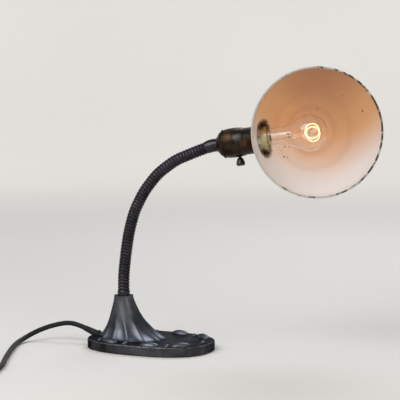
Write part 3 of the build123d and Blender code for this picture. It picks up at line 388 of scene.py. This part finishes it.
# The bulb: clear blown glass on a brass screw cap, with a stem inside that carries two support
# wires. The filament is two open loops of thin wire, lit. It glows through the dish.
# Clear glass: thin, colourless, a little uneven from the mould, with sharp reflections. It throws
# no shadow.
clear_glass, tree, shader, place = new_material("clear_blown_glass")
draw = add(tree, "TexNoise", {"Vector": place, "Scale": 1 / (25 * mm), "Detail": 1})["Fac"]
bump = add(tree, "Bump", {"Height": draw, "Strength": 0.15, "Distance": 1 * mm})[0]
feed(tree, shader, {"Normal": bump, "Base Color": linear("#ffffff"), "Roughness": 0.02})
feed(tree, shader, {"IOR": 1.45, "Specular IOR Level": 1, "Transmission Weight": 1})
dress(clear_glass, "bulb_glass", "bulb_stem")
for name in ("bulb_glass", "bulb_stem"):
    nodes[name].visible_shadow = False
# Black glass: the insulator fused into the end of the cap
black_glass, tree, shader, place = new_material("black_glass")
_, tone = mottled(tree, place, 4 * mm, "#0d0d10", "#1d1c22")
feed(tree, shader, {"Base Color": tone, "Roughness": 0.1})
dress(black_glass, "bulb_insulator")
dress(brass, "bulb_cap", "bulb_contact")


def thick_line(name, points, radius, roundness, smoothness):
    """A curve piece: one smooth open line with these points, as thick as its radius says."""
    curve = bpy.data.curves.new(name, "CURVE")
    curve.dimensions = "3D"
    curve.bevel_depth = radius
    curve.bevel_resolution = roundness
    curve.resolution_u = smoothness
    curve.use_fill_caps = True
    line = curve.splines.new("NURBS")
    line.points.add(len(points) - 1)
    for spot, point in zip(line.points, points):
        spot.co = (*point, 1)
    line.order_u = 3
    line.use_endpoint_u = True
    made = bpy.data.objects.new(name, curve)
    scene.collection.objects.link(made)
    return made


wire_radius = 0.2 * mm
loop_centre = head_end + head_way * 115.9 * mm
loop_radius = 8.1 * mm
loop_turns = 2
loop_step = Vector((0, 6 * mm, 0)) - head_up * 3.8 * mm
loop_points = 16
support_tips = loop_centre - head_way * 10.1 * mm
support_spread = Vector((0, 6 * mm, 0))
wire_points = [support_tips - support_spread]
for step in range(loop_turns * loop_points + 1):
    turn = step / loop_points
    around = head_up * sin(2 * pi * turn) - head_way * cos(2 * pi * turn)
    wire_points.append(loop_centre + loop_radius * around + loop_step * (turn - loop_turns / 2))
wire_points.append(support_tips + support_spread)
filament_loops = thick_line("filament_loops", wire_points, wire_radius, roundness=3, smoothness=4)
filament_loops.visible_shadow = False
# Tungsten wire at a low heat: pale orange, yellow where it is hottest
hot_wire, tree, shader, place = new_material("glowing_tungsten")
_, tone = mottled(tree, place, 12 * mm, "#ffbf70", "#ffe2b0", detail=1)
feed(tree, shader, {"Base Color": linear("#ff9a40"), "Emission Color": tone})
feed(tree, shader, {"Emission Strength": 7})
filament_loops.data.materials.append(hot_wire)
# Nickel wire: grey, drawn smooth, with a painted red glow where it carries the filament
painted_glow_wire, tree, shader, place = new_material("nickel_wire_painted_glow")
_, tone = mottled(tree, place, 9 * mm, "#e8864a", "#ffb070", detail=1)
feed(tree, shader, {"Base Color": linear("#8d8078"), "Metallic": 1, "Roughness": 0.4})
# Painted glow: the support wires give off a faint red light
feed(tree, shader, {"Emission Color": tone, "Emission Strength": 0.8})
dress(painted_glow_wire, "filament_supports")
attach(filament_loops, "bulb")
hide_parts("filament")

glow = bpy.data.objects.new("filament_glow", bpy.data.lights.new("filament_glow", "POINT"))
glow.data.energy = 0.0038
glow.data.color = linear("#ff8038")[:3]
glow.data.shadow_soft_size = 8 * mm
glow.location = loop_centre
glow.visible_transmission = False
glow.visible_glossy = False
scene.collection.objects.link(glow)
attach(glow, "bulb")

# The shade: a deep dish of thin spun steel with a beaded edge, enamelled white inside and painted
# dark outside. A collar in its side seats on the shell. The enamel has chipped along the bead.
dish_mouth = Vector((0.2406, -0.043, 0.26767))
dish_radius = 76 * mm
dish_depth = 102.5 * mm
dish_skin_share = 0.996
hub_middle = head_end + head_way * 52 * mm
hub_bore = 20.6 * mm
hub_inside = 4.1 * mm
hub_inside_half = 8 * mm
painted_glow_from = -60 * mm
painted_glow_to = 6 * mm
painted_glow_drift = 24 * mm
painted_glow_side_fall = -8
painted_shade_from = 28 * mm
painted_shade_to = 82 * mm
painted_ring_middle = (0.2272, 0.057, 0.2685)
painted_ring_strength = 7 * mm
# Vitreous enamel: glassy and a little wavy, white with a painted warm tone of the bulb's light,
# with iron showing where it has chipped and rust creeping out from under it round the collar
enamel, tree, shader, place = new_material("vitreous_enamel")
from_dish = add(tree, "VectorMath", {0: place, 1: dish_mouth}, operation="SUBTRACT")[0]
off_dish = add(tree, "SeparateXYZ", {"Vector": from_dish})
dish_shares = (1 / dish_radius, 1 / dish_depth, 1 / dish_radius)
in_dish = add(tree, "VectorMath", {0: from_dish, 1: dish_shares}, operation="MULTIPLY")[0]
reach = add(tree, "VectorMath", {0: in_dish}, operation="LENGTH")["Value"]
outside = add(tree, "Math", {0: reach, 1: dish_skin_share}, operation="GREATER_THAN")[0]
from_hub = add(tree, "VectorMath", {0: place, 1: hub_middle}, operation="SUBTRACT")[0]
off_axis = add(tree, "VectorMath", {0: from_hub, 1: head_way}, operation="CROSS_PRODUCT")[0]
off_axis = add(tree, "VectorMath", {0: off_axis}, operation="LENGTH")["Value"]
in_bore = add(tree, "Math", {0: off_axis, 1: hub_bore}, operation="LESS_THAN")[0]
past_hub = add(tree, "VectorMath", {0: from_hub, 1: head_way}, operation="DOT_PRODUCT")["Value"]
past_hub = {0: past_hub, 1: hub_inside, 2: hub_inside_half}
past_hub = add(tree, "Math", past_hub, operation="COMPARE")[0]
in_bore = add(tree, "Math", {0: in_bore, 1: past_hub}, operation="MULTIPLY")[0]
outside = add(tree, "Math", {0: outside, 1: in_bore}, operation="SUBTRACT", use_clamp=True)[0]
# White inside, with a painted peach tone above, which stands for the bulb's warm light and the
# painted shade of the upper wall, darkening to brown towards the top; soft painted shadow rings
# round the bulb; and dark paint outside
cream, white = mottled(tree, place, 45 * mm, "#dfe3e7", "#eceff2", detail=4, ragged=0.6)
# Painted light and shade: above a line that dips in the middle, the inside turns peach
sidelong = {0: off_dish["X"], 1: off_dish["X"]}
sidelong = add(tree, "Math", sidelong, operation="MULTIPLY")[0]
painted_light_level = {0: sidelong, 1: painted_glow_side_fall, 2: off_dish["Z"]}
painted_light_level = add(tree, "Math", painted_light_level, operation="MULTIPLY_ADD")[0]
painted_light_level = add(tree, "Math", {0: cream, 1: painted_glow_drift, 2: painted_light_level}, operation="MULTIPLY_ADD")[0]
painted_light_share = {"Value": painted_light_level, "From Min": painted_glow_from, "From Max": painted_glow_to}
painted_light_share = add(tree, "MapRange", painted_light_share, interpolation_type="SMOOTHSTEP")[0]
white = add(tree, "Mix", {0: painted_light_share, 6: white, 7: linear("#e9bd90")}, data_type="RGBA")[2]
# Painted shade: darker brown towards the top of the dish
painted_light_share = add(tree, "MapRange", {"Value": painted_light_level, "From Min": painted_shade_from, "From Max": painted_shade_to})[0]
white = add(tree, "Mix", {0: painted_light_share, 6: white, 7: linear("#bd9376")}, data_type="RGBA")[2]
# Painted shadows: two soft darker rings round the bulb
from_glow = add(tree, "VectorMath", {0: place, 1: painted_ring_middle}, operation="DISTANCE")["Value"]
for painted_ring_radius, painted_ring_width in ((30 * mm, 6 * mm), (52 * mm, 8 * mm)):
    near = add(tree, "Math", {0: from_glow, 1: painted_ring_radius}, operation="SUBTRACT")[0]
    near = add(tree, "Math", {0: near}, operation="ABSOLUTE")[0]
    fade = {"From Min": painted_ring_width, "From Max": 0, "To Max": painted_ring_strength / painted_ring_radius}
    share = add(tree, "MapRange", {"Value": near, **fade})[0]
    white = add(tree, "Mix", {0: share, 6: white, 7: linear("#b98d6c")}, data_type="RGBA")[2]
paint = {0: cream, 6: linear("#242424"), 7: linear("#3a3836")}
paint = add(tree, "Mix", paint, data_type="RGBA")[2]
tone = add(tree, "Mix", {0: outside, 6: white, 7: paint}, data_type="RGBA")[2]
# Chips along the bead: white left in places, black iron in others, and painted shade that turns
# the bead darker towards the right
chip = {"Vector": place, "Scale": 1 / (8 * mm), "Detail": 6, "Roughness": 0.7}
chip = add(tree, "TexNoise", chip)["Fac"]
ragged = {0: chip, 1: 5 * mm, 2: off_dish["Y"]}
ragged = add(tree, "Math", ragged, operation="MULTIPLY_ADD")[0]
at_bead = add(tree, "MapRange", {"Value": ragged, "From Min": 1.2 * mm, "From Max": 0.8 * mm})[0]
# Painted shade, partly real chips: the bead turns black iron towards the right
chips_and_right_shade = add(tree, "Math", {0: off_dish["X"], 1: 1.2, 2: chip}, operation="MULTIPLY_ADD")[0]
dark_chips_and_shade = add(tree, "MapRange", {"Value": chips_and_right_shade, "From Min": 0.53, "From Max": 0.56})[0]
iron = {0: dark_chips_and_shade, 6: linear("#b9b3a8"), 7: linear("#2b2622")}
iron = add(tree, "Mix", iron, data_type="RGBA")[2]
tone = add(tree, "Mix", {0: at_bead, 6: tone, 7: iron}, data_type="RGBA")[2]
# Rust above and below the collar's hole
off_hub = add(tree, "SeparateXYZ", {"Vector": from_hub})
above_hub = add(tree, "Math", {0: off_hub["Z"]}, operation="ABSOLUTE")[0]
hub_distance = add(tree, "VectorMath", {0: from_hub}, operation="LENGTH")["Value"]
creep, scale = mottled(tree, place, 7 * mm, "#2a1710", "#6e4a33", detail=6, ragged=0.7)
rust_edge = {0: creep, 1: 14 * mm, 2: hub_distance}
rust_edge = add(tree, "Math", rust_edge, operation="MULTIPLY_ADD")[0]
rusted = add(tree, "MapRange", {"Value": rust_edge, "From Min": 33 * mm, "From Max": 29 * mm})[0]
off_side = add(tree, "MapRange", {"Value": above_hub, "From Min": 9 * mm, "From Max": 16 * mm})[0]
rusted = add(tree, "Math", {0: rusted, 1: off_side}, operation="MULTIPLY")[0]
tone = add(tree, "Mix", {0: rusted, 6: tone, 7: scale}, data_type="RGBA")[2]
# Specks where the enamel has popped off the wall
for speck_at, speck_size in (
    ((0.2925, 0.0223, 0.2926), 1.5 * mm),
    ((0.2361, 0.0516, 0.295), 1.0 * mm),
    ((0.2691, 0.0303, 0.3113), 0.7 * mm),
    ((0.1971, 0.0357, 0.2483), 1.2 * mm),
    ((0.2025, 0.0406, 0.2481), 0.9 * mm),
    ((0.1969, 0.028, 0.2362), 1.3 * mm),
    ((0.2008, 0.0313, 0.2353), 0.9 * mm),
    ((0.1931, 0.0286, 0.2432), 0.7 * mm),
):
    near = add(tree, "VectorMath", {0: place, 1: speck_at}, operation="DISTANCE")["Value"]
    pit = add(tree, "Math", {0: chip, 1: 1.5 * mm, 2: near}, operation="MULTIPLY_ADD")[0]
    fade = {"From Min": speck_size + 0.9 * mm, "From Max": speck_size + 0.5 * mm}
    share = add(tree, "MapRange", {"Value": pit, **fade})[0]
    tone = add(tree, "Mix", {0: share, 6: tone, 7: linear("#3a2418")}, data_type="RGBA")[2]
wave = add(tree, "TexNoise", {"Vector": place, "Scale": 1 / (12 * mm), "Detail": 2})["Fac"]
bump = add(tree, "Bump", {"Height": wave, "Strength": 0.2, "Distance": 0.4 * mm})[0]
rough = {"Value": cream, "From Min": 0.3, "From Max": 0.7, "To Min": 0.3, "To Max": 0.42}
rough = add(tree, "MapRange", rough)[0]
feed(tree, shader, {"Base Color": tone, "Roughness": rough, "Normal": bump})
dress(enamel, "shade")

# The ring: a nut of plated brass that runs on the shell's thread inside the dish and clamps the
# shade's collar. Its nickel is worn through to the brass in places.
worn_nickel, *_ = worn_metal(
    "worn_nickel_plate", "#8b7a55", "#cfcbbf",
    patch=5 * mm, smooth=0.24, dull=0.44, grain=0.6 * mm, depth=0.05 * mm,
)
dress(worn_nickel, "shade_ring_nut")

# The mains cord: a round rubber lead of 1.8 m. It leaves the heel of the base through a tapered
# boot, arches down to the table and runs off to the left, where the rest is coiled and tied.
cord_radius = 3.1 * mm
cord_route = [
    (-0.05315, 0.01524, 0.01844),
    (-0.06218, 0.01783, 0.02186),
    (-0.076, 0.0218, 0.0237),
    (-0.091, 0.0255, 0.0206),
    (-0.1055, 0.024, 0.0166),
    (-0.1195, 0.0163, 0.011),
    (-0.129, 0.004, 0.0056),
    (-0.133, -0.013, 0.0032),
    (-0.131, -0.038, 0.0032),
    (-0.126, -0.072, 0.0032),
    (-0.119, -0.114, 0.0032),
    (-0.1105, -0.154, 0.0032),
    (-0.10919, -0.18981, 0.0041),
    (-0.10986, -0.2188, 0.0041),
]
coil_centre = Vector((-0.157, -0.225, 0.0041))
coil_radius = 47 * mm
coil_step = 6.8 * mm
layer_turns = 3
innermost_turn = layer_turns + 0.25
coil_turns = 2 * innermost_turn
coil_points = 24
coil_tail = Vector((0.00015, 0.0062, 0))
cord_points = [Vector(point) for point in cord_route]
for point in range(round(coil_turns * coil_points) + 1):
    turn = point / coil_points
    reach = coil_radius - coil_step * min(turn, coil_turns - turn)
    climb = min(max((turn - layer_turns) * 2, 0), 1)
    height = coil_step * climb**2 * (3 - 2 * climb)
    around = Vector((reach * cos(2 * pi * turn), -reach * sin(2 * pi * turn), height))
    cord_points.append(coil_centre + around)
cord_points.append(cord_points[-1] + coil_tail)
mains_cord = thick_line("mains_cord", cord_points, cord_radius, roundness=6, smoothness=8)

# Vulcanised rubber: nearly black, with a soft waxy sheen and a fine dusty bloom
rubber, tree, shader, place = new_material("vulcanised_rubber")
bloom, tone = mottled(tree, place, 9 * mm, "#0c0c0e", "#1a1a1d", detail=5, ragged=0.6)
rough = {"Value": bloom, "From Min": 0.3, "From Max": 0.7, "To Min": 0.48, "To Max": 0.64}
rough = add(tree, "MapRange", rough)[0]
grit = add(tree, "TexNoise", {"Vector": place, "Scale": 1 / (0.7 * mm), "Detail": 2})["Fac"]
bump = add(tree, "Bump", {"Height": grit, "Strength": 0.12, "Distance": 0.2 * mm})[0]
feed(tree, shader, {"Base Color": tone, "Roughness": rough, "Normal": bump})
feed(tree, shader, {"Specular IOR Level": 0.25})
mains_cord.data.materials.append(rubber)
dress(rubber, "cord_grommet", "plug_relief", "plug_body", "coil_tie")
dress(brass, "plug_blades")
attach(mains_cord, "base")
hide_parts("cord_lead", "cord_coil")
